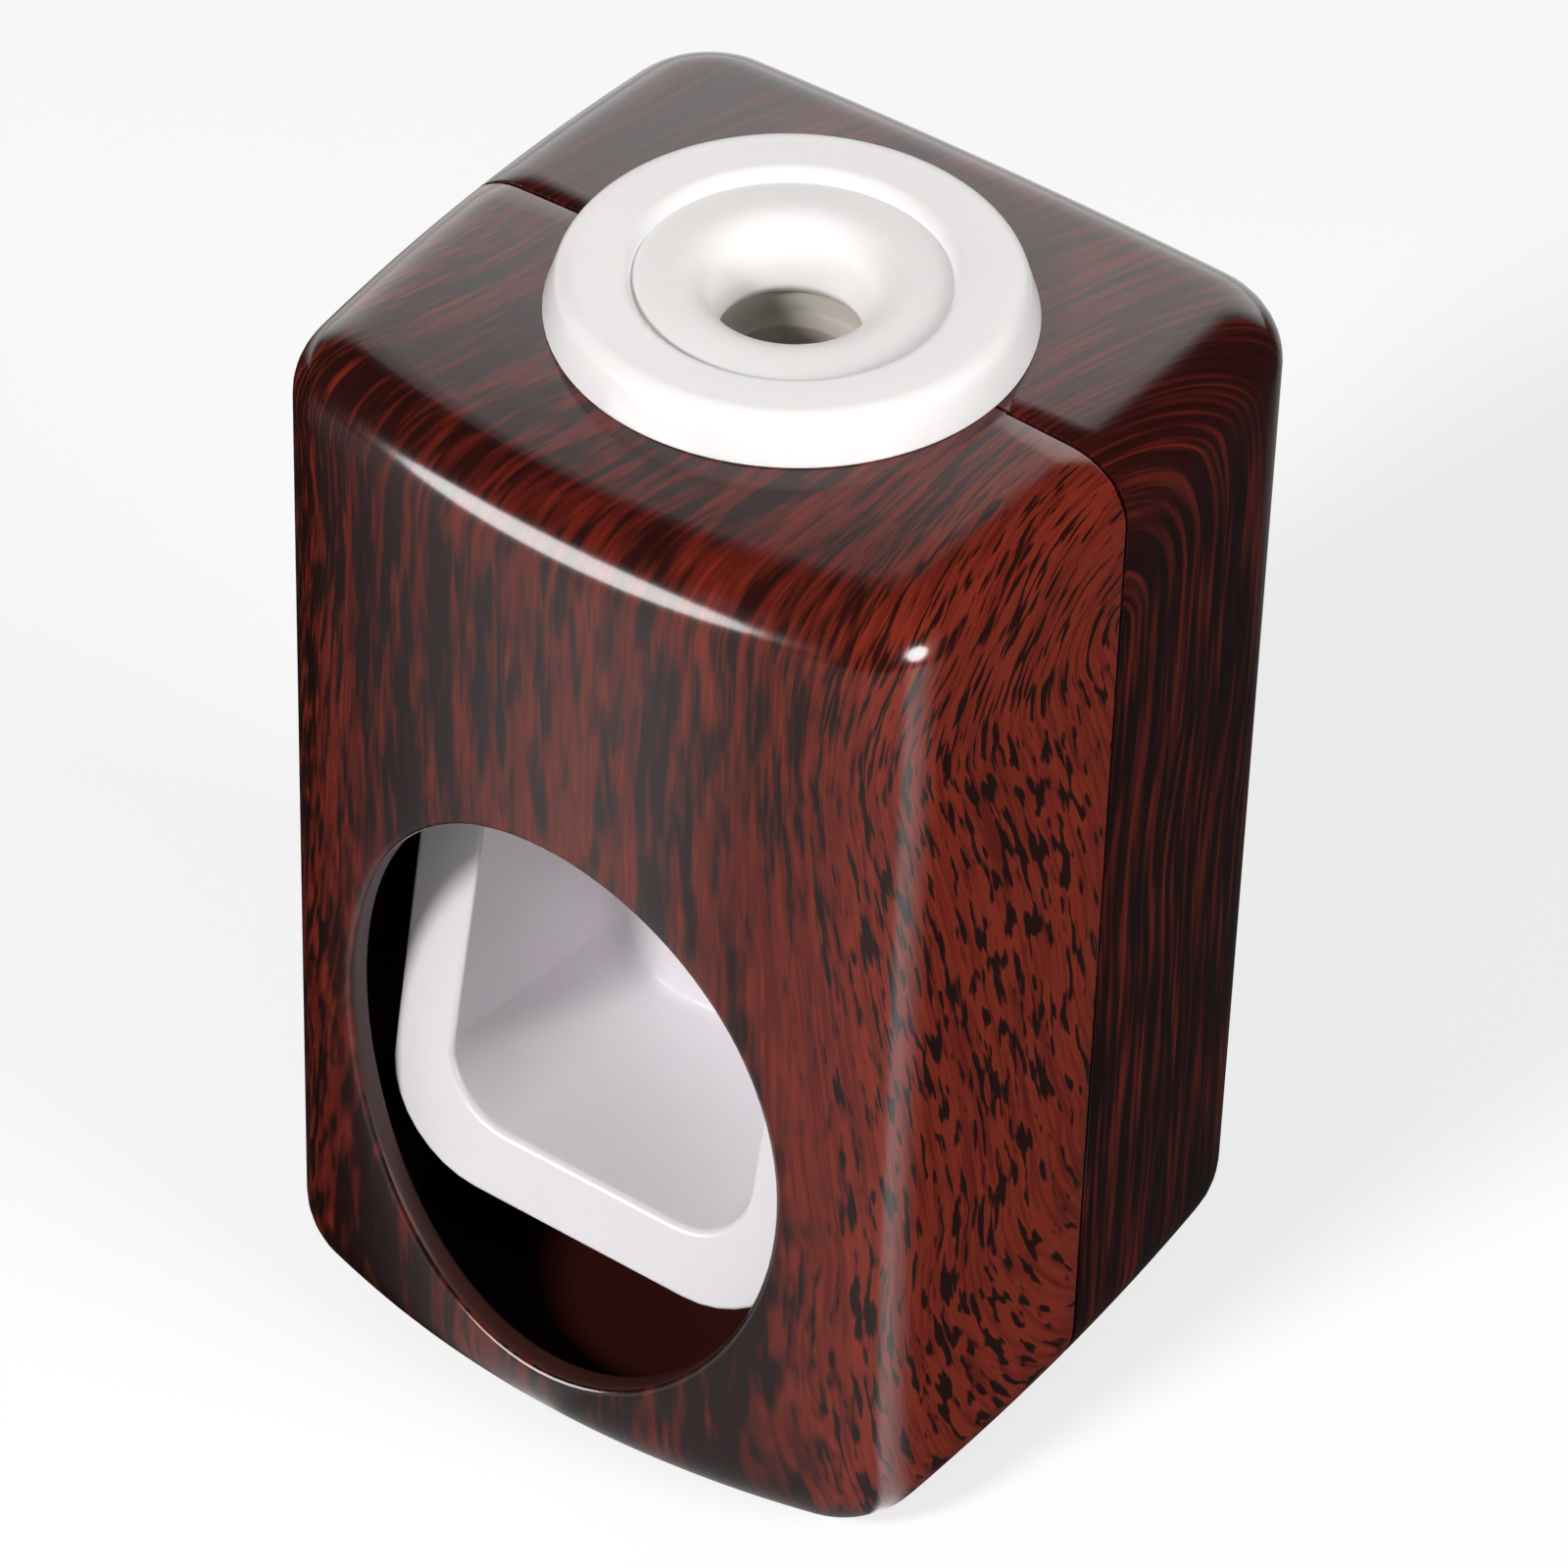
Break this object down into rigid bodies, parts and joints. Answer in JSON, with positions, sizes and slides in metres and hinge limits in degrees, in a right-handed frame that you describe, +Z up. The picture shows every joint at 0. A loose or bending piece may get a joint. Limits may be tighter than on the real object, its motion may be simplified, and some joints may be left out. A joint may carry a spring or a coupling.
{
  "type": "toothpaste dispenser",
  "caption": "Push-to-dispense toothpaste dispenser: boxy wood-look casing, round tube inlet on top, oval brush opening and a sprung scoop inside.",
  "frame": {"origin": "middle of the base, on the surface it stands on", "axes": "+Z up, -Y out of the front opening, +X to the right seen from the front"},
  "size_m": [0.06, 0.0576, 0.0976],
  "materials": {
    "wood_print_front": "gloss wood-grain print",
    "wood_print_rear": "gloss wood-grain print",
    "white_gloss": "moulded gloss",
    "scoop_white": "moulded gloss",
    "frame_plastic": "moulded satin",
    "milky_silicone": "translucent satin",
    "clear_silicone": "translucent satin",
    "dark_rubber": "matt",
    "bush_plastic": "satin",
    "steel": "bright zinc",
    "foam": "matt foam"
  },
  "bodies": {
    "housing": {"front_shell": "wood_print_front", "rear_shell": "wood_print_rear", "inlet_collar": "white_gloss", "inlet_gasket": "milky_silicone", "collar_nut": "white_gloss", "core_frame": "frame_plastic", "valve_seat": "white_gloss", "inlet_valve": "clear_silicone", "seal_ring": "dark_rubber", "pump_bulb": "clear_silicone", "bulb_clamp": "steel", "outlet_nozzle": "white_gloss", "outlet_valve": "clear_silicone", "nozzle_ring": "white_gloss", "pivot_pin": "steel", "pin_clips": "steel", "return_springs": "steel", "frame_screws": "steel", "rest_bumpers": "dark_rubber", "travel_bumper": "dark_rubber", "wall_pad": "foam"},
    "scoop_lever": {"push_cup": "scoop_white", "press_pad": "dark_rubber", "pivot_bushes": "bush_plastic"}
  },
  "joints": [
    {"name": "scoop_swing", "type": "hinge", "parent": "housing", "child": "scoop_lever", "pos_m": [0, -0.01275, 0.076], "axis": [1, 0, 0], "range_deg": [0, 16], "stiffness_Nm_per_rad": 0.25, "springref_deg": -20.05, "deforming": ["return_springs", "pump_bulb"]}
  ]
}
